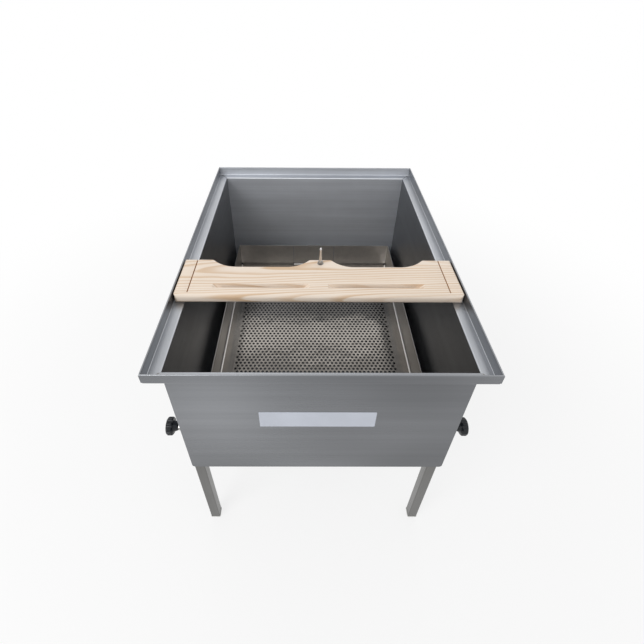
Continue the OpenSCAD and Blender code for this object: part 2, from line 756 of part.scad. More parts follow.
// Blade's outline: disc over the bore, pivot eye, hooked clamp end and handle
module blade_2d() {
    swing = 2 * bolt_x;
    hook_r = bolt_d / 2 + hook_gap;
    difference() {
        union() {
            circle(d = blade_d);
            translate([-bolt_x, -arm_w / 2]) square([2 * bolt_x + handle_l, arm_w]);
            for (x = [-bolt_x, bolt_x + handle_l]) translate([x, 0]) circle(ear_r);
        }
        translate([-bolt_x, 0]) circle(d = bolt_d + 2 * hole_gap);
        translate([bolt_x, 0]) circle(hook_r);
        translate([-bolt_x, 0]) intersection() {
            difference() {
                circle(swing + hook_r, $fn = 180);
                circle(swing - hook_r, $fn = 180);
            }
            square([swing + arm_w, arm_w]);
        }
    }
}

// Flat blade that swings up off the outlet about the pivot bolt
module gate_blade() color(gate_white) at_gate() translate([0, 0, blade_y]) linear_extrude(blade_t) blade_2d();

// Wing nut that clamps the blade's hooked end
module gate_wing_nut() color(bright_steel) at_gate() translate([bolt_x, 0, gate_nut_y]) difference() {
    union() {
        cylinder(d1 = wing_hub_d, d2 = wing_top_d, h = gate_nut_h);
        translate([-wing_span / 2, -wing_t / 2, wing_z]) cube([wing_span, wing_t, gate_nut_h - wing_z]);
    }
    translate([0, 0, -cut]) cylinder(d = bolt_d + 2 * hole_gap, h = gate_nut_h + 2 * cut);
}

tank_trough();
front_panel();
rear_panel();
leg_socket(-1, -1);  // leg_socket_front_left
leg_socket(1, -1);  // leg_socket_front_right
leg_socket(-1, 1);  // leg_socket_rear_left
leg_socket(1, 1);  // leg_socket_rear_right
socket_weld_nuts();
leg(-1, -1);  // leg_front_left
leg(1, -1);  // leg_front_right
leg(-1, 1);  // leg_rear_left
leg(1, 1);  // leg_rear_right
foot_cap(-1, -1);  // foot_cap_front_left
foot_cap(1, -1);  // foot_cap_front_right
foot_cap(-1, 1);  // foot_cap_rear_left
foot_cap(1, 1);  // foot_cap_rear_right
knob(-1, -1);  // knob_front_left
knob(1, -1);  // knob_front_right
knob(-1, 1);  // knob_rear_left
knob(1, 1);  // knob_rear_right
knob_stud(-1, -1);  // knob_stud_front_left
knob_stud(1, -1);  // knob_stud_front_right
knob_stud(-1, 1);  // knob_stud_rear_left
knob_stud(1, 1);  // knob_stud_rear_right
sieve_floor();
sieve_left_wall();
sieve_right_wall();
sieve_front_flap();
sieve_rear_flap();
sieve_runners();
uncapping_bar();
spike();
spike_nuts();
spike_washers();
gate_body();
gate_seal();
gate_back_nut();
gate_face_seal();
gate_bolts();
gate_washers();
gate_pivot_nut();
gate_blade();
gate_wing_nut();
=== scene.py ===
"""Looks of the uncapping tank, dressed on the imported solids.

Folded brushed stainless on clamped legs, a bright perforated sieve, a planed wooden bar, and moulded plastic
knobs, feet and honey gate. Every length is in metres, in the frame of the solids.
"""

import json
import logging
import math
from collections.abc import Sequence
from dataclasses import dataclass
from enum import Enum
from functools import cache
from itertools import product

import bmesh
import bpy
from bpy.types import ID, Material, Node, NodeTree, Object
from bpy.types import NodeSocket as Socket
from mathutils import Matrix, Vector
from mathutils.geometry import delaunay_2d_cdt

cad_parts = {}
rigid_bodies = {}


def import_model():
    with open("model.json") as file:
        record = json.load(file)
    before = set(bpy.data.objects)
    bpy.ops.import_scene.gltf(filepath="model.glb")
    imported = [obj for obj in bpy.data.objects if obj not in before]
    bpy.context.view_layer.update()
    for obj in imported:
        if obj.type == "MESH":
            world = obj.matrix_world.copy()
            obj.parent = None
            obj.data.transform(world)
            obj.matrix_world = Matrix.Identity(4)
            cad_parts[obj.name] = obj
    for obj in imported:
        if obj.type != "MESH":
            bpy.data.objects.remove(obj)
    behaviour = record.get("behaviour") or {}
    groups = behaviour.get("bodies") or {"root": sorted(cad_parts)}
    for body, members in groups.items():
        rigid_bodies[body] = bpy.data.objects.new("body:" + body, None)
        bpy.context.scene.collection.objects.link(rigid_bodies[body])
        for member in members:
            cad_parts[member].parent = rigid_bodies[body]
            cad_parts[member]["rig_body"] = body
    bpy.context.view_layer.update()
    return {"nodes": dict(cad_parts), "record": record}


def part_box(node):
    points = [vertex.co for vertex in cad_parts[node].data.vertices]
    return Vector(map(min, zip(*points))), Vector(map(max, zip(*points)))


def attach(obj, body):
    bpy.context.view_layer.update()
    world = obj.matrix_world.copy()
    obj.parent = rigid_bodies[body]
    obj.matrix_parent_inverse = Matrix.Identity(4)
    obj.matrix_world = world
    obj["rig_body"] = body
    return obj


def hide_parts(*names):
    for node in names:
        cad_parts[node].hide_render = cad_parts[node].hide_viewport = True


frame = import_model()

LOG = logging.getLogger("uncapping_tank")
SIDES = ("left", "right")
ENDS = ("front", "rear")
CORNERS = tuple(f"{end}_{side}" for end, side in product(ENDS, SIDES))
UP = (0.0, 0.0, 1.0)
UNIT = (0.0, 1.0)  # Range of a mask or a share.
MIDDLE = (0.3, 0.7)  # Range that holds nearly all of a noise.
CREASE = math.radians(32)  # Least turn between two faces that stays a visible edge.
LEVEL = math.radians(1)  # Most turn between two faces that count as one flat.
SNAP = 1e-6  # Distance at which two points of a solid count as one.

Pair = tuple[float, float]
Triple = tuple[float, float, float]
Color = Triple
Sockets = dict[str, Socket]
Value = Socket | float | Sequence[float]
Shell = tuple[list[Vector], list[tuple[int, ...]]]


class Slot(Enum):
    """Material slots of the record."""

    TANK = "tank_steel"
    SOCKET = "socket_steel"
    SIEVE = "sieve_steel"
    FASTENER = "fastener_steel"
    WOOD = "bar_wood"
    KNOB = "knob_plastic"
    FOOT = "foot_plastic"
    GATE = "gate_plastic"


class Grain(Enum):
    """Direction of a brushed sheet's or a plank's streaks, as cycles of noise per metre on each axis."""

    ALONG_X = (5.0, 800.0, 800.0)
    ALONG_Y = (800.0, 5.0, 800.0)
    ALONG_Z = (800.0, 800.0, 5.0)


class Tone:
    """Base colours of the finishes."""

    TANK: Color = (0.275, 0.284, 0.300)
    WELD: Color = (0.29, 0.28, 0.265)
    LABEL: Color = (0.51, 0.54, 0.61)
    LEG: Color = (0.165, 0.163, 0.157)
    TURNED: Color = (0.46, 0.45, 0.44)
    FOOT: Color = (0.70, 0.70, 0.68)
    KNOB: Color = (0.009, 0.011, 0.015)
    SIEVE_WALL: Color = (0.50, 0.48, 0.46)
    # Painted shade and reflection: the sieve floor's steel is far darker than its walls' and warmed,
    # standing in for the dark interior and the wooden bar that it reflects.
    SIEVE_FLOOR: Color = (0.185, 0.172, 0.157)
    EARLY_WOOD: Color = (0.85, 0.755, 0.655)
    LATE_WOOD: Color = (0.64, 0.45, 0.29)
    KERF_TINT: Color = (0.80, 0.60, 0.42)
    SPIKE: Color = (0.60, 0.59, 0.58)
    SPIKE_NUT: Color = (0.34, 0.33, 0.32)
    GATE: Color = (0.74, 0.71, 0.62)
    NYLON: Color = (0.10, 0.10, 0.105)
    RUBBER: Color = (0.05, 0.05, 0.053)
    GATE_BOLT: Color = (0.48, 0.47, 0.46)
    FLOOR: Color = (0.85, 0.85, 0.85)
    WHITE: Color = (1.0, 1.0, 1.0)


class Shader:
    """A node tree under construction, a material's or a group's."""

    def __init__(self, tree: NodeTree) -> None:
        """Keeps the tree that nodes are added to."""
        self.tree = tree

    def node(self, kind: str, **settings: object) -> Node:
        """Adds a node.

        Args:
            kind: Blender's name of the node's type.
            settings: Attributes to set on the node.

        Returns:
            The new node.
        """
        node = self.tree.nodes.new(kind)
        for name, value in settings.items():
            setattr(node, name, value)
        return node

    def put(self, socket: Socket, value: Value) -> None:
        """Links a socket to another, or sets its constant.

        Args:
            socket: The input to feed.
            value: An output socket, a number, or a vector or colour.
        """
        if isinstance(value, Socket):
            self.tree.links.new(value, socket)
        elif socket.type == "RGBA" and len(value) == 3:
            socket.default_value = (*value, 1.0)
        else:
            socket.default_value = value

    def feed(self, node: Node, **values: Value) -> None:
        """Feeds a node's inputs.

        Args:
            node: The node.
            values: What goes into each input, named with _ for a space.
        """
        for name, value in values.items():
            self.put(node.inputs[name.replace("_", " ")], value)

    def fill(self, node: Node, *values: Value) -> None:
        """Feeds a node's inputs in order."""
        for socket, value in zip(node.inputs, values):
            self.put(socket, value)

    def effect(self, tree: NodeTree, **values: Value) -> tuple[Socket, ...]:
        """Places a shared node group.

        Args:
            tree: The group's tree.
            values: What goes into each of its inputs.

        Returns:
            Its outputs, in order.
        """
        node = self.node("ShaderNodeGroup", node_tree=tree)
        self.feed(node, **values)
        return tuple(node.outputs)

    def math(self, operation: str, *values: Value, kind: str = "ShaderNodeMath") -> Socket:
        """Adds a Math node.

        Args:
            operation: The node's operation.
            values: Its inputs, in order.
            kind: Blender's name of the node's type.

        Returns:
            The result's socket.
        """
        node = self.node(kind, operation=operation)
        self.fill(node, *values)
        return next(socket for socket in node.outputs if socket.enabled)

    def vector(self, operation: str, *values: Value) -> Socket:
        """Adds a Vector Math node and returns its result, as math does."""
        return self.math(operation, *values, kind="ShaderNodeVectorMath")

    def noise(self, vector: Value, scale: Value, detail: Value, roughness: float = 0.5) -> Socket:
        """Adds a noise texture.

        Args:
            vector: Where the noise is read.
            scale: Cycles per metre.
            detail: Number of octaves.
            roughness: Weight of the finer octaves.

        Returns:
            The noise, from 0 to 1.
        """
        node = self.node("ShaderNodeTexNoise")
        self.feed(node, Vector=vector, Scale=scale, Detail=detail, Roughness=roughness)
        return node.outputs["Fac"]

    def spread(self, value: Value, old: Pair, new: Pair = UNIT) -> Socket:
        """Maps one range of values smoothly to another.

        Args:
            value: The value to map.
            old: The range it comes from.
            new: The range it goes to.

        Returns:
            The mapped value.
        """
        node = self.node("ShaderNodeMapRange", interpolation_type="SMOOTHSTEP")
        self.fill(node, value, *old, *new)
        return node.outputs[0]

    def blend(self, factor: Value, first: Value, second: Value, way: str = "MIX") -> Socket:
        """Mixes two colours.

        Args:
            factor: The second colour's share.
            first: The colour at 0.
            second: The colour at 1.
            way: How the second colour is laid on the first.

        Returns:
            The mixed colour.
        """
        node = self.node("ShaderNodeMix", data_type="RGBA", blend_type=way)
        for index, value in ((0, factor), (6, first), (7, second)):
            self.put(node.inputs[index], value)
        return node.outputs[2]

    def tint(self, factor: Value, color: Value, by: Value) -> Socket:
        """Returns a colour that is multiplied by another, as far as the factor says."""
        return self.blend(factor, color, by, "MULTIPLY")

    def bump(self, height: Value, distance: float, under: Socket | None = None) -> Socket:
        """Turns a height into a normal.

        Args:
            height: The relief, from 0 to 1.
            distance: Depth of the full relief.
            under: Normal of a coarser relief that this one lies on.

        Returns:
            The normal's socket.
        """
        node = self.node("ShaderNodeBump")
        self.feed(node, Height=height, Distance=distance, Strength=1.0)
        if under:
            self.put(node.inputs["Normal"], under)
        return node.outputs["Normal"]

    def parts(self, vector: Socket) -> Sockets:
        """Returns a vector's X, Y and Z."""
        node = self.node("ShaderNodeSeparateXYZ")
        self.fill(node, vector)
        return {axis: node.outputs[axis] for axis in "XYZ"}

    def between(self, value: Value, low: float, high: float) -> Socket:
        """Returns 1 where a value lies between two others, and 0 elsewhere."""
        return self.math("COMPARE", value, (low + high) / 2, (high - low) / 2)

    def within(self, place: Sockets, lo: Vector, hi: Vector) -> Socket:
        """Marks the points inside a box.

        Args:
            place: X, Y and Z of the point.
            lo: The box's lowest corner.
            hi: Its highest corner.

        Returns:
            A value of 1 inside the box and 0 outside.
        """
        x, y, z = (self.between(place[axis], *ends) for axis, *ends in zip("XYZ", lo, hi))
        return self.math("MULTIPLY", self.math("MULTIPLY", x, y), z)


class Effects:
    """Shader node groups that several finishes share, each built once."""

    BAND = (0.06, 0.06, 0.06)  # Cycles of a wide band for each cycle of a fine streak.
    SPECKS = 90.0  # Specks along the width of a cloud.

    @staticmethod
    def group(name: str, inputs: dict[str, str], outputs: Sequence[str]) -> tuple[Shader, Sockets, Sockets]:
        """Starts a node group.

        Args:
            name: The group's name.
            inputs: Kind of socket of each named input.
            outputs: Names of the outputs, which are all numbers.

        Returns:
            The group's shader, and its inputs and outputs by name, as seen from within.
        """
        tree = bpy.data.node_groups.new(name, "ShaderNodeTree")
        for label, kind in inputs.items():
            tree.interface.new_socket(label, in_out="INPUT", socket_type=kind)
        for label in outputs:
            tree.interface.new_socket(label, in_out="OUTPUT", socket_type="NodeSocketFloat")
        shader = Shader(tree)
        entry = shader.node("NodeGroupInput")
        leave = shader.node("NodeGroupOutput")
        return (
            shader,
            {label: entry.outputs[label] for label in inputs},
            {label: leave.inputs[label] for label in outputs},
        )

    @staticmethod
    @cache
    def brushed_streaks() -> NodeTree:
        """Builds the group of streaks and bands left by brushing, drawing or planing, from 0 to 1."""
        sockets = dict.fromkeys(("Vector", "Stretch"), "NodeSocketVector")
        shader, given, made = Effects.group("brushed_streaks", sockets, ("Streak", "Band"))
        drawn = shader.vector("MULTIPLY", given["Vector"], given["Stretch"])
        fine = shader.noise(drawn, 1.0, 6.0, roughness=0.7)
        wide = shader.noise(shader.vector("MULTIPLY", drawn, Effects.BAND), 1.0, 3.0)
        shader.put(made["Streak"], shader.spread(fine, MIDDLE))
        shader.put(made["Band"], shader.spread(wide, MIDDLE))
        return shader.tree

    @staticmethod
    @cache
    def soft_mottle() -> NodeTree:
        """Builds the group of soft clouds and fine specks that handling and casting leave, from 0 to 1."""
        sockets = {"Vector": "NodeSocketVector", "Scale": "NodeSocketFloat", "Detail": "NodeSocketFloat"}
        shader, given, made = Effects.group("soft_mottle", sockets, ("Cloud", "Speck"))
        cloud = shader.noise(given["Vector"], given["Scale"], given["Detail"], roughness=0.55)
        shader.put(made["Cloud"], shader.spread(cloud, MIDDLE))
        fine = shader.math("MULTIPLY", given["Scale"], Effects.SPECKS)
        shader.put(made["Speck"], shader.noise(given["Vector"], fine, 2.0))
        return shader.tree


class Skin(Shader):
    """A material under construction, with one Principled shader and the solids' own coordinates."""

    def __init__(self, name: str) -> None:
        """Makes the material and finds its shader and the place on the object."""
        self.material = bpy.data.materials.new(name)
        self.material.use_nodes = True
        super().__init__(self.material.node_tree)
        self.surface = self.tree.nodes["Principled BSDF"]
        self.place = self.node("ShaderNodeTexCoord").outputs["Object"]

    def streaks(self, grain: Grain) -> tuple[Socket, ...]:
        """Returns the fine streaks and the wide bands along a grain."""
        return self.effect(Effects.brushed_streaks(), Vector=self.place, Stretch=grain.value)

    def mottle(self, scale: float, detail: float = 4.0, place: Socket | None = None) -> tuple[Socket, ...]:
        """Places the group of soft clouds.

        Args:
            scale: Clouds per metre.
            detail: Octaves of finer clouds in them.
            place: Where they are read, if not at the place on the object.

        Returns:
            The clouds and the fine specks.
        """
        where = self.place if place is None else place
        return self.effect(Effects.soft_mottle(), Vector=where, Scale=scale, Detail=detail)

    def coat(self, **values: Value) -> Material:
        """Feeds the Principled shader's inputs and returns the material."""
        self.feed(self.surface, **values)
        return self.material


def shade(color: Color, factor: float) -> Color:
    """Returns a colour made lighter or darker by a factor."""
    return tuple(min(1.0, channel * factor) for channel in color)


@dataclass(frozen=True)
class PaintedLightSide:
    """Faces of a sheet that look one way and get painted light or shade, their tone scaled by a gain.

    Args:
        way: Direction that the faces look in.
        gain: Factor on their tone, which paints light on them above 1 and shade below 1.
        dull: What is added to their roughness.
        span: Heights that the faces lie between.
        turn: Cosines of the turn from the direction between which a face comes to count.
    """

    way: Triple
    gain: float
    dull: float = 0.0
    span: Pair = (0.0, 1.0)
    turn: Pair = (0.5, 0.8)

    def mask(self, skin: Skin) -> Socket:
        """Marks the faces.

        Args:
            skin: The sheet's material.

        Returns:
            A value of 1 on the faces and 0 on others.
        """
        normal = skin.node("ShaderNodeTexCoord").outputs["Normal"]
        facing = skin.spread(skin.vector("DOT_PRODUCT", normal, self.way), self.turn)
        return skin.math("MULTIPLY", facing, skin.between(skin.parts(skin.place)["Z"], *self.span))


@dataclass(frozen=True)
class BrushedSteel:
    """Stainless sheet, tube or turned steel with streaks in one direction.

    Args:
        name: The material's name.
        tone: Its colour.
        grain: Direction of the streaks.
        roughness: Mean roughness.
        scatter: How far streaks change the roughness.
        contrast: Share by which streaks and bands change the tone.
        fine: Weight of the streaks in that, where the bands have the rest.
        handling_and_reflection: Share by which soft clouds change tone and roughness, as random handling
            marks; on the front panel the clouds are also a painted reflection.
        clouds: Clouds per metre.
        billows: Octaves of finer clouds in them.
        drift: How far the clouds are moved, to set where they lie.
        relief: Depth of the streaks.
        sway: Depth of the slow waves that a thin sheet has.
        sides: Faces that get painted light or shade of their own.
    """

    name: str
    tone: Color
    grain: Grain
    roughness: float = 0.38
    scatter: float = 0.10
    contrast: float = 0.10
    fine: float = 0.55
    handling_and_reflection: float = 0.10
    clouds: float = 4.0
    billows: float = 4.0
    drift: Triple = (0.0, 0.0, 0.0)
    relief: float = 0.00002
    sway: float = 0.0002
    sides: tuple[PaintedLightSide, ...] = ()

    def build(self) -> Material:
        """Builds the material."""
        skin = Skin(self.name)
        streak, band = skin.streaks(self.grain)
        cloud, _ = skin.mottle(self.clouds, self.billows, skin.vector("ADD", skin.place, self.drift))
        marks = skin.math("MULTIPLY_ADD", streak, self.fine, skin.math("MULTIPLY", band, 1 - self.fine))
        darker, lighter = (shade(self.tone, 1 + sign * self.contrast) for sign in (-1, 1))
        clouded = skin.blend(cloud, (1 - self.handling_and_reflection,) * 3, Tone.WHITE)
        color = skin.tint(1.0, skin.blend(marks, darker, lighter), clouded)
        grip = skin.math("MULTIPLY_ADD", streak, self.scatter, self.roughness - self.scatter / 2)
        grip = skin.math("MULTIPLY_ADD", cloud, -self.handling_and_reflection / 2, grip)
        # Painted light and shade: each side's faces have their tone scaled by its gain.
        for side in self.sides:
            mask = side.mask(skin)
            color = skin.tint(mask, color, (side.gain,) * 3)
            grip = skin.math("MULTIPLY_ADD", mask, side.dull, grip)
        normal = skin.bump(streak, self.relief, skin.bump(cloud, self.sway))
        return skin.coat(Base_Color=color, Roughness=grip, Metallic=1.0, Normal=normal)


@dataclass(frozen=True)
class PlanedWood:
    """Pale softwood sawn nearly flat and planed along X.

    Args:
        name: The material's name.
        early: Colour of the wide pale wood in each ring.
        late: Colour of the thin dark line that ends a ring.
        kerf: Lowest and highest corners of the box that holds the kerf's sawn faces, which are tinted,
            mirrored in X.
        ring: Mean width of a ring.
        darken: Shares of a ring between which it darkens.
        fade: Shares of a ring between which it turns pale again.
        uneven: Share by which the rings' dark lines differ in weight.
        pith: Where the log's middle lies in Y and Z, halfway along the plank.
        lean: How far the log's middle moves in Y and Z for each metre of X.
        wander: How far the rings wander from true circles.
        bends: Cycles of that wandering per metre on each axis.
        fibre: Share by which streaks and bands each darken the wood.
        cast: Share by which soft clouds darken it.
        clouds: Clouds per metre.
        kerf_tint: What the colour of the kerf's faces is multiplied by, which makes them darker and more
            orange.
        roughness: Least roughness.
        scatter: How far streaks raise the roughness.
        shine: Level of its reflections.
        depth: Depth of the rings and streaks.
    """

    name: str
    early: Color
    late: Color
    kerf: tuple[Vector, Vector]
    ring: float = 0.0052
    darken: Pair = (0.35, 0.86)
    fade: Pair = (0.88, 1.0)
    uneven: float = 0.65
    pith: Pair = (-0.095, 0.588)
    lean: Pair = (0.06, 0.04)
    wander: float = 0.016
    bends: Triple = (3.5, 16.0, 16.0)
    fibre: float = 0.08
    cast: float = 0.10
    clouds: float = 9.0
    kerf_tint: Color = Tone.KERF_TINT
    roughness: float = 0.56
    scatter: float = 0.16
    shine: float = 0.3
    depth: float = 0.00012

    def build(self) -> Material:
        """Builds the material."""
        skin = Skin(self.name)
        count = skin.math("DIVIDE", self.radius(skin), self.ring)
        phase = skin.math("FRACT", count)
        fall = skin.spread(phase, self.fade, (1.0, 0.0))
        late = skin.math("MULTIPLY", skin.spread(phase, self.darken), fall)
        which = skin.node("ShaderNodeTexWhiteNoise", noise_dimensions="1D")
        skin.feed(which, W=skin.math("FLOOR", count))
        weight = skin.math("MULTIPLY_ADD", which.outputs["Value"], self.uneven, 1 - self.uneven)
        streak, band = skin.streaks(Grain.ALONG_X)
        cloud, _ = skin.mottle(self.clouds)
        ringed = skin.blend(skin.math("MULTIPLY", late, weight), self.early, self.late)
        marks = skin.math("MULTIPLY", skin.math("ADD", streak, band), self.fibre)
        marks = skin.math("MULTIPLY_ADD", cloud, self.cast, marks)
        worn = skin.blend(marks, ringed, shade(self.late, 1.05))
        axes = skin.parts(skin.place)
        axes["X"] = skin.math("ABSOLUTE", axes["X"])
        # Tints the walls of both kerfs darker and more orange.
        worn = skin.tint(skin.within(axes, *self.kerf), worn, self.kerf_tint)
        grip = skin.math("MULTIPLY_ADD", streak, self.scatter, self.roughness)
        relief = skin.math("MULTIPLY", skin.math("ADD", late, streak), 0.5)
        normal = skin.bump(relief, self.depth)
        return skin.coat(Base_Color=worn, Roughness=grip, Specular_IOR_Level=self.shine, Normal=normal)

    def radius(self, skin: Skin) -> Socket:
        """Measures how far a point lies from the log's middle.

        Args:
            skin: The plank's material.

        Returns:
            The distance, with the rings' wandering.
        """
        along = skin.parts(skin.place)["X"]
        middle = skin.vector("MULTIPLY_ADD", along, (0.0, *self.lean), (0.0, *self.pith))
        off = skin.vector("MULTIPLY", skin.vector("SUBTRACT", skin.place, middle), (0.0, 1.0, 1.0))
        bend = skin.noise(skin.vector("MULTIPLY", skin.place, self.bends), 1.0, 3.0)
        return skin.math("MULTIPLY_ADD", bend, self.wander, skin.vector("LENGTH", off))


@dataclass(frozen=True)
class Moulding:
    """Moulded plastic or rubber, with a faint mottle and a fine skin.

    Args:
        name: The material's name.
        tone: Its colour.
        roughness: Mean roughness.
        scatter: How far specks change the roughness.
        depth: Depth of the moulded skin.
        cast: Share by which soft clouds change the tone.
        clouds: Clouds per metre.
        shine: Level of its reflections.
    """

    name: str
    tone: Color
    roughness: float = 0.45
    scatter: float = 0.16
    depth: float = 0.00004
    cast: float = 0.08
    clouds: float = 16.0
    shine: float = 0.5

    def build(self) -> Material:
        """Builds the material."""
        skin = Skin(self.name)
        cloud, speck = skin.mottle(self.clouds)
        tone = skin.blend(cloud, shade(self.tone, 1 - self.cast), shade(self.tone, 1 + self.cast))
        grip = skin.math("MULTIPLY_ADD", speck, self.scatter, self.roughness - self.scatter / 2)
        normal = skin.bump(speck, self.depth)
        return skin.coat(Base_Color=tone, Roughness=grip, Specular_IOR_Level=self.shine, Normal=normal)


def placed(name: str, data: ID) -> Object:
    """Makes an object of a mesh, a lamp or a camera and links it to the scene."""
    item = bpy.data.objects.new(name, data)
    bpy.context.scene.collection.objects.link(item)
    return item


class Piece:
    """Helpers that make meshes, dress them and set them on their bodies."""

    @staticmethod
    def mesh(name: str, shell: Shell, smooth: bool = False) -> Object:
        """Makes an object from points and faces.

        Args:
            name: The piece's name.
            shell: Its points and faces.
            smooth: Whether its faces are shaded smooth.

        Returns:
            The object, linked to the scene.
        """
        data = bpy.data.meshes.new(name)
        verts, faces = shell
        data.from_pydata(verts, [], faces)
        tidy = bmesh.new()
        tidy.from_mesh(data)
        bmesh.ops.recalc_face_normals(tidy, faces=tidy.faces)
        tidy.to_mesh(data)
        tidy.free()
        for polygon in data.polygons:
            polygon.use_smooth = smooth
        return placed(name, data)

    @staticmethod
    def finish(piece: Object, material: Material, body: str, slot: Slot) -> None:
        """Dresses a new piece and sets it on its body.

        Args:
            piece: The new piece.
            material: Its material.
            body: The body that it moves with.
            slot: The record's slot of the piece, which is not used.
        """
        piece.data.materials.append(material)
        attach(piece, body)
        LOG.info("piece %s on %s, %d points", piece.name, body, len(piece.data.vertices))

    @staticmethod
    def soften(node: str, material: Material, width: float) -> None:
        """Stands a copy with rounded edges in the place of a solid, on the same body.

        Args:
            node: The solid's name.
            material: The copy's material.
            width: Width of the rounding.
        """
        solid = frame["nodes"][node]
        shape = bmesh.new()
        shape.from_mesh(solid.data)
        bmesh.ops.remove_doubles(shape, verts=shape.verts, dist=SNAP)
        bmesh.ops.dissolve_limit(shape, angle_limit=LEVEL, verts=shape.verts, edges=shape.edges)
        sharp = [e for e in shape.edges if e.is_manifold and e.calc_face_angle(0.0) > CREASE]
        bmesh.ops.bevel(
            shape, geom=sharp, offset=width, segments=3, profile=0.5, affect="EDGES", clamp_overlap=True
        )
        for face in shape.faces:
            face.smooth = True
        for edge in shape.edges:
            edge.smooth = edge.calc_face_angle(0.0) < CREASE
        data = bpy.data.meshes.new(f"{node}_soft")
        shape.to_mesh(data)
        shape.free()
        piece = placed(data.name, data)
        slots = {part["node"]: part["material_slot"] for part in frame["record"]["subparts"]}
        Piece.finish(piece, material, solid["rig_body"], Slot(slots[node]))
        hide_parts(node)

    @staticmethod
    def dress(material: Material, *nodes: str) -> None:
        """Gives solids a material.

        Args:
            material: The material.
            nodes: Names of the solids.
        """
        for node in nodes:
            solid = frame["nodes"][node]
            solid.data.materials.clear()
            solid.data.materials.append(material)
            LOG.info("solid %s in %s", node, material.name)


def arc(centre: Vector, radius: float, start: float, end: float, steps: int) -> list[Vector]:
    """Points along an arc in a plane.

    Args:
        centre: The arc's centre.
        radius: Its radius.
        start: Angle of the first point, in degrees.
        end: Angle of the last point, in degrees.
        steps: Number of chords.

    Returns:
        The points, both ends included.
    """
    angles = (math.radians(start + (end - start) * i / steps) for i in range(steps + 1))
    return [centre + radius * Vector((math.cos(a), math.sin(a))) for a in angles]


def round_rectangle(width: float, height: float, radius: float, steps: int = 5) -> list[Vector]:
    """Outline of a rectangle with round corners, centred.

    Args:
        width: Size in the first axis.
        height: Size in the second axis.
        radius: Radius of the corners.
        steps: Chords in each corner.

    Returns:
        The outline's points, anticlockwise.
    """
    half = Vector((width / 2 - radius, height / 2 - radius))
    corners = ((1, 1, 0), (-1, 1, 90), (-1, -1, 180), (1, -1, 270))
    return [
        point
        for sx, sy, turn in corners
        for point in arc(Vector((sx * half.x, sy * half.y)), radius, turn, turn + 90, steps)
    ]


def thick_sheet(outline: Sequence[Vector], holes: Sequence[Sequence[Vector]], thickness: float) -> Shell:
    """Flat sheet with holes, as a closed shell.

    Args:
        outline: The sheet's edge.
        holes: The edge of each hole.
        thickness: Its thickness, upwards from zero.

    Returns:
        The shell's points and faces.
    """
    flat: list[Vector] = []
    owners: list[int] = []
    edges: list[tuple[int, int]] = []
    for number, loop in enumerate((outline, *holes)):
        first = len(flat)
        flat.extend(loop)
        owners.extend(number for _ in loop)
        edges.extend((first + i, first + (i + 1) % len(loop)) for i in range(len(loop)))
    inside, tolerance = 1, SNAP / 10
    points, _, triangles, sources, *_ = delaunay_2d_cdt(flat, edges, [], inside, tolerance)
    loops = [owners[source[0]] for source in sources]
    faces = [face for face in triangles if len({loops[i] for i in face}) > 1 or not loops[face[0]]]
    count = len(points)
    verts = [Vector((p.x, p.y, z)) for z in (0.0, thickness) for p in points]
    shell = [tuple(face) for face in faces] + [tuple(count + i for i in reversed(face)) for face in faces]
    uses: dict[tuple[int, int], int] = {}
    for face in faces:
        for a, b in zip(face, (*face[1:], face[0])):
            key = (min(a, b), max(a, b))
            uses[key] = uses.get(key, 0) + 1
    shell += [(a, b, count + b, count + a) for (a, b), times in uses.items() if times == 1]
    return verts, shell


def ring_faces(rings: int, sides: int) -> list[tuple[int, ...]]:
    """Faces of a tube with closed ends.

    Args:
        rings: Rings of points along the tube.
        sides: Points in each ring.

    Returns:
        Indices of each face's points.
    """
    faces = [
        (i * sides + j, i * sides + (j + 1) % sides, (i + 1) * sides + (j + 1) % sides, (i + 1) * sides + j)
        for i in range(rings - 1)
        for j in range(sides)
    ]
    return [*faces, tuple(range(sides)), tuple(range((rings - 1) * sides, rings * sides))]


def spokes(axis: Vector, sides: int) -> list[Vector]:
    """Returns vectors of length 1 that stand square to an axis, evenly round it."""
    side = axis.orthogonal().normalized()
    other = axis.cross(side)
    turns = (2 * math.pi * j / sides for j in range(sides))
    return [side * math.cos(turn) + other * math.sin(turn) for turn in turns]


@dataclass
class WeldBead:
    """Rippled bead laid along a straight seam.

    Args:
        width: Width of the bead.
        height: Height of its crown.
        ripple: Distance between its ripples.
        swell: Share by which a ripple swells.
        chords: Chords across the bead, and rings in a ripple.
        tip: Size of the bead's tips, as a share of the full size.
        ease: How much the size grows from a tip, for each share of the run.
    """

    width: float = 0.003
    height: float = 0.0006
    ripple: float = 0.0018
    swell: float = 0.25
    chords: int = 6
    tip: float = 0.15
    ease: float = 12.0

    def build(self, start: Vector, end: Vector, up: Vector) -> Shell:
        """Builds the bead's mesh.

        Args:
            start: Where the seam starts.
            end: Where it ends.
            up: The way out of the sheet.

        Returns:
            The bead's points and faces.
        """
        run = end - start
        side = run.normalized().cross(up)
        steps = round(run.length / self.ripple * self.chords)
        arch = [math.pi * i / self.chords for i in range(self.chords + 1)]
        verts: list[Vector] = []
        for i in range(steps + 1):
            along = i / steps
            phase = (along * run.length / self.ripple) % 1.0
            taper = min(1.0, self.tip + self.ease * min(along, 1 - along))
            size = taper * (1 - self.swell * phase)
            for a in arch:
                offset = side * (math.cos(a) * self.width / 2) + up * (math.sin(a) * self.height)
                verts.append(start + run * along + offset * size)
        return verts, ring_faces(steps + 1, len(arch))


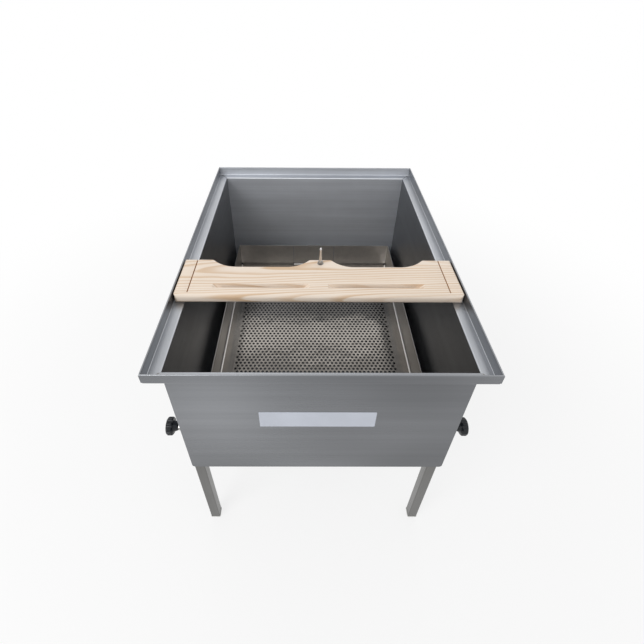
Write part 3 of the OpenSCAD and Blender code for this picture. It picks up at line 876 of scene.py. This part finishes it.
@dataclass(frozen=True)
class Thread:
    """Helical thread of a rod.

    Args:
        pitch: Advance in one turn.
        depth: Depth from crest to root.
        sides: Points round the rod.
        steps: Rings in one turn.
    """

    pitch: float
    depth: float
    sides: int = 28
    steps: int = 6

    def rod(self, start: Vector, axis: Vector, length: float, radius: float) -> Shell:
        """Builds a threaded rod with chamfered ends.

        Args:
            start: Middle of the rod's first end.
            axis: Direction of the rod, of length 1.
            length: The rod's length.
            radius: Its radius over the crests.

        Returns:
            The rod's points and faces.
        """
        ways = spokes(axis, self.sides)
        rings = math.ceil(length / self.pitch * self.steps)
        verts: list[Vector] = []
        for i in range(rings + 1):
            along = length * i / rings
            ends = max(0.0, self.depth - min(along, length - along))
            for j, way in enumerate(ways):
                crest = abs(2 * ((along / self.pitch - j / self.sides) % 1.0) - 1)
                verts.append(start + axis * along + way * (radius - max(self.depth * (1 - crest), ends)))
        return verts, ring_faces(rings + 1, self.sides)


def lathe(start: Vector, axis: Vector, profile: Sequence[Pair], sides: int = 32) -> Shell:
    """Turns a profile about an axis.

    Args:
        start: Where the profile's distance along the axis is zero.
        axis: The axis, of length 1.
        profile: Radius and distance along the axis of each point, none on the axis itself.
        sides: Points round the axis.

    Returns:
        The solid's points and faces.
    """
    ways = spokes(axis, sides)
    verts = [start + axis * along + way * radius for radius, along in profile for way in ways]
    return verts, ring_faces(len(profile), sides)


def joined(parts: Sequence[Shell]) -> Shell:
    """Joins several shells into one list of points and faces."""
    verts: list[Vector] = []
    faces: list[tuple[int, ...]] = []
    for points, polygons in parts:
        first = len(verts)
        verts.extend(points)
        faces.extend(tuple(first + i for i in polygon) for polygon in polygons)
    return verts, faces


def outward(corner: str) -> Vector:
    """Returns the way out of the tank at a corner, with 1 or -1 in X and Y."""
    end, side = corner.split("_")
    return Vector((1.0 if side == "right" else -1.0, 1.0 if end == "rear" else -1.0, 0.0))


@dataclass
class Tank:
    """The folded tank with its leg sockets.

    Args:
        label_size: Width and height of the bare plate on the front wall.
        label_middle: Its middle in X and Z.
        label_radius: Radius of its corners.
        label_thickness: Its thickness.
        sheet: Thickness of the tank's sheet.
        rim_width: Width of the rim, from the mouth to the lip's outside.
        rim_bend: Outside radius of the bend at the mouth.
        lip_height: Height of the lip over the rim.
        zone: Height over which the rim, the hem and the bottom are told from the rest, for their painted
            light and shade.
        seam_end: Distance from the lip's outside to a mitre's seam.
        weld_end: Length of a socket's edge that is left bare at each end.
    """

    label_size: Pair = (0.180, 0.039)
    label_middle: Pair = (-0.0025, 0.480)
    label_radius: float = 0.0015
    label_thickness: float = 0.0003
    sheet: float = 0.0012
    rim_width: float = 0.021
    rim_bend: float = 0.0022
    lip_height: float = 0.019
    zone: float = 0.005
    seam_end: float = 0.003
    weld_end: float = 0.004

    def build(self) -> None:
        """Dresses the tank and adds its plate and welds."""
        tone, zone = Tone.TANK, self.zone
        lo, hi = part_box("tank_trough")
        # Painted light: the rim's flats are lightened by 1.8, standing in for the bright ceiling light they
        # catch.
        rim = PaintedLightSide(UP, gain=1.8, span=(hi.z - self.lip_height - zone, hi.z - zone))
        # Painted highlight: the top of the front hem is lightened by 1.5, a bright line along the front.
        hem = PaintedLightSide(UP, gain=1.5, span=(hi.z - zone, hi.z + zone))
        # Painted shade: the trough's floor is darkened to 0.4, so that it shows dark through the sieve's
        # holes.
        bottom = PaintedLightSide(UP, gain=0.4, span=(lo.z, lo.z + zone))
        # Painted light: the rear wall's inner face is lightened by 2.6, making up for light that barely
        # reaches inside the tank; its roughness also rises.
        inside = PaintedLightSide((0.0, -1.0, 0.0), gain=2.6, dull=0.28)
        # Painted reflection: a tone lightened by 1.08 and strong, large soft clouds, moved to set where they
        # lie, make the front panel lighter on the left and darker towards the middle and right, standing in
        # for the room's uneven reflection.
        front = BrushedSteel(
            "front_panel_steel", shade(tone, 1.08), Grain.ALONG_X, handling_and_reflection=0.5, clouds=2.5,
            billows=1.0, drift=(2.0, 0.0, 4.0), sides=(rim, hem),
        )
        Piece.dress(front.build(), "front_panel")
        rear = BrushedSteel("rear_panel_steel", tone, Grain.ALONG_X, sides=(rim, inside))
        Piece.dress(rear.build(), "rear_panel")
        trough = BrushedSteel("trough_steel", tone, Grain.ALONG_Y, sides=(rim, bottom))
        Piece.dress(trough.build(), "tank_trough")
        sockets = BrushedSteel("socket_steel", shade(tone, 0.92), Grain.ALONG_Z, roughness=0.42)
        Piece.dress(sockets.build(), *(f"leg_socket_{corner}" for corner in CORNERS))
        weld = BrushedSteel("weld_steel", Tone.WELD, Grain.ALONG_Z, roughness=0.34, handling_and_reflection=0.3)
        bead = weld.build()
        self.add_corner_seams(bead)
        self.add_socket_welds(bead)
        self.add_label()

    def add_label(self) -> None:
        """Adds the bare plate to the front wall."""
        wall_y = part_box("front_panel")[1].y - self.sheet
        outline = round_rectangle(*self.label_size, self.label_radius)
        verts, faces = thick_sheet(outline, (), self.label_thickness)
        x, z = self.label_middle
        upright = [Vector((x + v.x, wall_y - v.z, z + v.y)) for v in verts]
        film = Moulding("bare_plate_film", Tone.LABEL, roughness=0.35, depth=0.00001, cast=0.04)
        Piece.finish(Piece.mesh("bare_label_plate", (upright, faces)), film.build(), "tank", Slot.TANK)

    def add_corner_seams(self, material: Material) -> None:
        """Adds the ground weld along each mitre of the rim.

        Args:
            material: The bead's material.
        """
        lo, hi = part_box("tank_trough")
        rim_z = hi.z - self.lip_height
        bead = WeldBead(width=0.0022, height=0.00015, ripple=0.0024)
        inner = self.rim_width - self.rim_bend
        for corner in CORNERS:
            out = outward(corner)
            tip = Vector((hi.x if out.x > 0 else lo.x, hi.y if out.y > 0 else lo.y, rim_z))
            seam = bead.build(tip - out * inner, tip - out * self.seam_end, Vector(UP))
            Piece.finish(Piece.mesh(f"rim_seam_{corner}", seam, smooth=True), material, "tank", Slot.TANK)

    def add_socket_welds(self, material: Material) -> None:
        """Adds the fillet welds down both edges of each socket.

        Args:
            material: The bead's material.
        """
        bead = WeldBead(width=0.0036, height=0.0012)
        for corner in CORNERS:
            lo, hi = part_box(f"leg_socket_{corner}")
            out = Vector((outward(corner).x, 0.0, 0.0))
            wall = lo.x if out.x > 0 else hi.x
            ends = (lo.z + self.weld_end, hi.z - self.weld_end)
            parts = [bead.build(*(Vector((wall, y, z)) for z in ends), out) for y in (lo.y, hi.y)]
            name = f"socket_weld_{corner}"
            Piece.finish(Piece.mesh(name, joined(parts), smooth=True), material, "tank", Slot.SOCKET)


@dataclass
class Stand:
    """The four legs with their feet and clamp knobs.

    Args:
        thread: Thread of the clamping studs.
    """

    thread: Thread = Thread(pitch=0.00125, depth=0.0006)

    def build(self) -> None:
        """Dresses the legs, feet, knobs, studs and welded nuts."""
        tube = BrushedSteel("leg_tube_steel", Tone.LEG, Grain.ALONG_Z, roughness=0.36)
        Piece.dress(tube.build(), *(f"leg_{corner}" for corner in CORNERS))
        sole = Moulding("foot_plastic", Tone.FOOT, roughness=0.5)
        knob = Moulding("knob_plastic", Tone.KNOB, roughness=0.28, cast=0.2, shine=0.35)
        pale, black = sole.build(), knob.build()
        for corner in CORNERS:
            Piece.soften(f"foot_cap_{corner}", pale, width=0.0006)
            Piece.soften(f"knob_{corner}", black, width=0.0007)
        turned = BrushedSteel("turned_steel", Tone.TURNED, Grain.ALONG_Y, roughness=0.3).build()
        Piece.soften("socket_weld_nuts", turned, width=0.0005)
        for corner in CORNERS:
            self.add_stud(corner, turned)

    def add_stud(self, corner: str, material: Material) -> None:
        """Stands a threaded stud in the place of a plain one.

        Args:
            corner: The stud's corner of the tank.
            material: The stud's material.
        """
        node = f"knob_stud_{corner}"
        lo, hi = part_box(node)
        start = Vector((lo.x, (lo.y + hi.y) / 2, (lo.z + hi.z) / 2))
        shell = self.thread.rod(start, Vector((1, 0, 0)), hi.x - lo.x, (hi.z - lo.z) / 2)
        stud = Piece.mesh(f"threaded_stud_{corner}", shell, smooth=True)
        Piece.finish(stud, material, f"knob_{corner}", Slot.FASTENER)
        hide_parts(node)


@dataclass
class Sieve:
    """The lift-out basket with its perforated floor.

    Args:
        hole: Diameter of the holes.
        pitch: Distance between neighbouring holes.
        margin: Plain margin from the basket's outside to the holes.
        slit: Gap beside each middle flap.
        fold: Height over the floor at which a wall's fold ends, and where the walls' painted light starts.
        hole_sides: Sides of a hole's outline.
    """

    hole: float = 0.006
    pitch: float = 0.009
    margin: float = 0.027
    slit: float = 0.0012
    fold: float = 0.004
    hole_sides: int = 12

    def build(self) -> None:
        """Dresses the walls and builds the perforated floor."""
        # Painted light: forward-looking faces of the walls and flaps above their folds are lightened by 1.8,
        # so that the shaded rear flap reads brighter.
        ends = PaintedLightSide((0.0, -1.0, 0.0), gain=1.8, span=(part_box("sieve_floor")[1].z + self.fold, 1.0))
        folded = BrushedSteel(
            "sieve_wall_steel", Tone.SIEVE_WALL, Grain.ALONG_Y, roughness=0.40, sides=(ends,)
        )
        walls = ("left_wall", "right_wall", "front_flap", "rear_flap", "runners")
        Piece.dress(folded.build(), *(f"sieve_{wall}" for wall in walls))
        punched = BrushedSteel(
            "sieve_floor_steel", Tone.SIEVE_FLOOR, Grain.ALONG_Y, roughness=0.17, contrast=0.06,
            handling_and_reflection=0.06, clouds=9.0, relief=0.00001, sway=0.0006,
        )
        piece = Piece.mesh("perforated_floor", self.floor())
        Piece.finish(piece, punched.build(), "sieve", Slot.SIEVE)
        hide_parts("sieve_floor")

    def floor(self) -> Shell:
        """Builds the floor's shell.

        Returns:
            Its points and faces, in place.
        """
        lo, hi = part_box("sieve_floor")
        middle = (lo + hi) / 2
        half_x, half_y = (hi.x - lo.x) / 2, (hi.y - lo.y) / 2
        flap_lo, flap_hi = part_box("sieve_rear_flap")
        notch_x = (flap_hi.x - flap_lo.x) / 2 + self.slit
        notch_y = half_y - (flap_hi.y - flap_lo.y)
        quarter = [Vector((half_x, half_y)), Vector((notch_x, half_y)), Vector((notch_x, notch_y))]
        outline = [*quarter, *(Vector((-p.x, p.y)) for p in reversed(quarter))]
        outline += [Vector((-p.x, -p.y)) for p in quarter]
        outline += [Vector((p.x, -p.y)) for p in reversed(quarter)]
        reach_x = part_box("sieve_right_wall")[1].x - self.margin - self.hole / 2
        reach_y = half_y - self.margin - self.hole / 2
        holes = [
            arc(centre, self.hole / 2, 0, 360 - 360 / self.hole_sides, self.hole_sides - 1)
            for centre in self.centres(reach_x, reach_y)
        ]
        verts, faces = thick_sheet(outline, holes, hi.z - lo.z)
        return [Vector((v.x + middle.x, v.y + middle.y, v.z + lo.z)) for v in verts], faces

    def centres(self, reach_x: float, reach_y: float) -> list[Vector]:
        """Places the holes in staggered rows.

        Args:
            reach_x: How far the outermost centres may lie in X.
            reach_y: How far the outermost centres may lie in Y.

        Returns:
            The holes' centres, about the floor's middle.
        """
        row = self.pitch * math.sin(math.radians(60))
        rows = int(reach_y / row)
        found: list[Vector] = []
        for j in range(-rows, rows + 1):
            shift = self.pitch / 2 if j % 2 else 0.0
            across = int((reach_x - shift) / self.pitch)
            first = -across - 1 if shift else -across
            found += [Vector((i * self.pitch + shift, j * row)) for i in range(first, across + 1)]
        return found


@dataclass
class Bar:
    """The slotted wooden bar with its spike.

    Args:
        kerf_in: Distance from the bar's end to the saw kerf.
        kerf_width: Width of the kerf.
        kerf_depth: Its depth.
        kerf_stop: Wood left between the kerf and the bar's front edge.
        skin: Depth below the planed face at which the kerf's own faces start.
    """

    kerf_in: float = 0.022
    kerf_width: float = 0.002
    kerf_depth: float = 0.007
    kerf_stop: float = 0.009
    skin: float = 0.0005

    def build(self) -> None:
        """Dresses the bar, the spike and its fasteners."""
        wood = PlanedWood("planed_wood", Tone.EARLY_WOOD, Tone.LATE_WOOD, self.kerf_box())
        Piece.soften("uncapping_bar", wood.build(), width=0.0012)
        rod = BrushedSteel("spike_steel", Tone.SPIKE, Grain.ALONG_Z, roughness=0.3)
        Piece.dress(rod.build(), "spike")
        dark = BrushedSteel("spike_fastener_steel", Tone.SPIKE_NUT, Grain.ALONG_X, roughness=0.34).build()
        Piece.soften("spike_nuts", dark, width=0.0004)
        Piece.soften("spike_washers", dark, width=0.0002)

    def kerf_box(self) -> tuple[Vector, Vector]:
        """Finds the lowest and highest corners of the box that holds the right kerf's walls."""
        lo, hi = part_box("uncapping_bar")
        middle, reach = hi.x - self.kerf_in, self.kerf_width
        front, bottom = lo.y + self.kerf_stop - self.skin, hi.z - self.kerf_depth - self.skin
        return Vector((middle - reach, front, bottom)), Vector((middle + reach, hi.y, hi.z - self.skin))


@dataclass
class HoneyGate:
    """The moulded gate on the rear wall.

    Args:
        thread: Thread of its bolts.
        bolt_radius: Radius of the bolts' shanks.
        head_height: Height of the bolts' heads.
        dome: Height of a head's dome, as a share of the head's radius.
        dome_turns: Turns of the dome's points from the head's edge, in radians.
    """

    thread: Thread = Thread(pitch=0.001, depth=0.0005)
    bolt_radius: float = 0.003
    head_height: float = 0.0035
    dome: float = 1 / 3
    dome_turns: tuple[float, ...] = (1.5, 1.2, 0.8, 0.4, 0.0)

    def build(self) -> None:
        """Dresses the gate's body, blade, seals and fasteners."""
        ivory = Moulding("gate_plastic", Tone.GATE, roughness=0.4, cast=0.05)
        moulded = ivory.build()
        for node in ("gate_body", "gate_blade"):
            Piece.soften(node, moulded, width=0.0008)
        nylon = Moulding("gate_nut_nylon", Tone.NYLON, roughness=0.5)
        Piece.soften("gate_back_nut", nylon.build(), width=0.0008)
        rubber = Moulding("seal_rubber", Tone.RUBBER, roughness=0.75, depth=0.00006)
        Piece.dress(rubber.build(), "gate_seal", "gate_face_seal")
        steel = BrushedSteel("gate_fastener_steel", Tone.GATE_BOLT, Grain.ALONG_X, roughness=0.3).build()
        for node in ("gate_washers", "gate_pivot_nut", "gate_wing_nut"):
            Piece.soften(node, steel, width=0.0004)
        self.add_bolts(steel)

    def add_bolts(self, material: Material) -> None:
        """Stands threaded bolts with domed heads in the place of the plain ones.

        Args:
            material: The bolts' material.
        """
        lo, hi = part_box("gate_bolts")
        head = (hi.z - lo.z) / 2
        back = Vector((0, 1, 0))
        rise = head * self.dome
        profile = [(head * math.cos(a), rise - rise * math.sin(a)) for a in self.dome_turns]
        profile.append((head, self.head_height))
        parts: list[Shell] = []
        for x in (lo.x + head, hi.x - head):
            start = Vector((x, lo.y, (lo.z + hi.z) / 2))
            parts.append(lathe(start, back, profile))
            shank = start + back * self.head_height
            parts.append(self.thread.rod(shank, back, hi.y - shank.y, self.bolt_radius))
        bolts = Piece.mesh("threaded_gate_bolts", joined(parts), smooth=True)
        Piece.finish(bolts, material, "tank", Slot.FASTENER)
        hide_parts("gate_bolts")


@dataclass(frozen=True)
class Softbox:
    """A large soft lamp.

    Args:
        name: The lamp's name.
        place: Where it hangs.
        size: Width and height of its face.
        power: Its power in watts.
        aim: What it points at.
    """

    name: str
    place: Triple
    size: Pair
    power: float
    aim: Triple = (0.0, 0.0, 0.5)

    def build(self) -> None:
        """Hangs the lamp."""
        data = bpy.data.lights.new(self.name, "AREA")
        data.shape = "RECTANGLE"
        data.size, data.size_y = self.size
        data.energy = self.power
        lamp = placed(self.name, data)
        lamp.location = self.place
        lamp.rotation_euler = (Vector(self.aim) - Vector(self.place)).to_track_quat("-Z", "Y").to_euler()
        lamp.visible_camera = False


@dataclass
class Studio:
    """Camera, lamps, floor and world.

    Args:
        camera_place: Where the camera stands.
        pitch: How far it looks down, in degrees.
        yaw: How far it is turned to the left, in degrees.
        roll: How far it is tilted, in degrees.
        sensor: Width of its sensor, in millimetres.
        lens: Its focal length, in millimetres.
        shift: Shift of the picture in X and Y.
        floor_half: Half the side of the floor.
        ambient: Strength of the world's diffuse light.
        glow: Share of plain white in what the camera and reflections see of the floor under the tank.
        fade: Distances from the tank's middle between which that share grows to the whole.
    """

    camera_place: Triple = (-0.02175, -0.66841, 1.05585)
    pitch: float = 38.665
    yaw: float = -0.447
    roll: float = 0.514
    sensor: float = 36.0
    lens: float = 23.07
    shift: Pair = (0.0213, -0.0773)
    floor_half: float = 40.0
    ambient: float = 0.75
    glow: float = 0.75
    fade: Pair = (0.6, 1.6)

    def build(self) -> None:
        """Sets up the whole studio."""
        bpy.context.scene.view_settings.view_transform = "Standard"
        self.add_camera()
        self.add_floor()
        self.light_world()
        Softbox("strip_softbox", place=(0.0, 1.86, 2.30), size=(1.6, 0.4), power=3.0).build()
        Softbox("key_softbox", place=(-1.5, -1.7, 2.4), size=(1.4, 1.4), power=30.0).build()

    def add_camera(self) -> None:
        """Sets the camera at the photograph's view."""
        data = bpy.data.cameras.new("camera")
        data.sensor_width, data.lens = self.sensor, self.lens
        data.shift_x, data.shift_y = self.shift
        camera = placed("camera", data)
        turns = (
            Matrix.Rotation(math.radians(self.yaw), 4, "Z")
            @ Matrix.Rotation(math.radians(90 - self.pitch), 4, "X")
            @ Matrix.Rotation(math.radians(self.roll), 4, "Z")
        )
        camera.matrix_world = Matrix.Translation(self.camera_place) @ turns
        bpy.context.scene.camera = camera

    @staticmethod
    def seen(shader: Shader) -> Socket:
        """Marks rays of the camera, of reflections and through glass.

        Args:
            shader: The material's or the world's tree.

        Returns:
            A value of 1 for such rays and 0 for others.
        """
        path = shader.node("ShaderNodeLightPath")
        direct = shader.math("MAXIMUM", path.outputs["Is Camera Ray"], path.outputs["Is Glossy Ray"])
        return shader.math("MAXIMUM", direct, path.outputs["Is Transmission Ray"])

    def add_floor(self) -> None:
        """Lays the white floor, which keeps a soft shadow."""
        half = self.floor_half
        turns = ((-1, -1), (1, -1), (1, 1), (-1, 1))
        corners = [Vector((x * half, y * half, 0.0)) for x, y in turns]
        floor = Piece.mesh("studio_floor", (corners, [(0, 1, 2, 3)]))
        skin = Skin("studio_floor")
        white = skin.node("ShaderNodeEmission").outputs["Emission"]
        share = skin.spread(skin.vector("LENGTH", skin.place), self.fade, (self.glow, 1.0))
        mix = skin.node("ShaderNodeMixShader")
        skin.fill(mix, skin.math("MULTIPLY", self.seen(skin), share), skin.surface.outputs["BSDF"], white)
        skin.feed(skin.tree.nodes["Material Output"], Surface=mix.outputs[0])
        floor.data.materials.append(skin.coat(Base_Color=Tone.FLOOR, Roughness=0.9))

    def light_world(self) -> None:
        """Makes the world white to the eye and a soft light to the object."""
        world = bpy.data.worlds.new("studio_world")
        world.use_nodes = True
        shader = Shader(world.node_tree)
        gain = shader.math("MULTIPLY_ADD", self.seen(shader), 1.0 - self.ambient, self.ambient)
        shader.feed(world.node_tree.nodes["Background"], Color=Tone.WHITE, Strength=gain)
        bpy.context.scene.world = world


def main() -> None:
    """Builds the studio and every sub-assembly in order."""
    logging.basicConfig(level=logging.INFO, format="%(name)s: %(message)s")
    for assembly in (Studio(), Tank(), Stand(), Sieve(), Bar(), HoneyGate()):
        LOG.info("building %s", type(assembly).__name__)
        assembly.build()


if __name__ == "__main__":
    main()
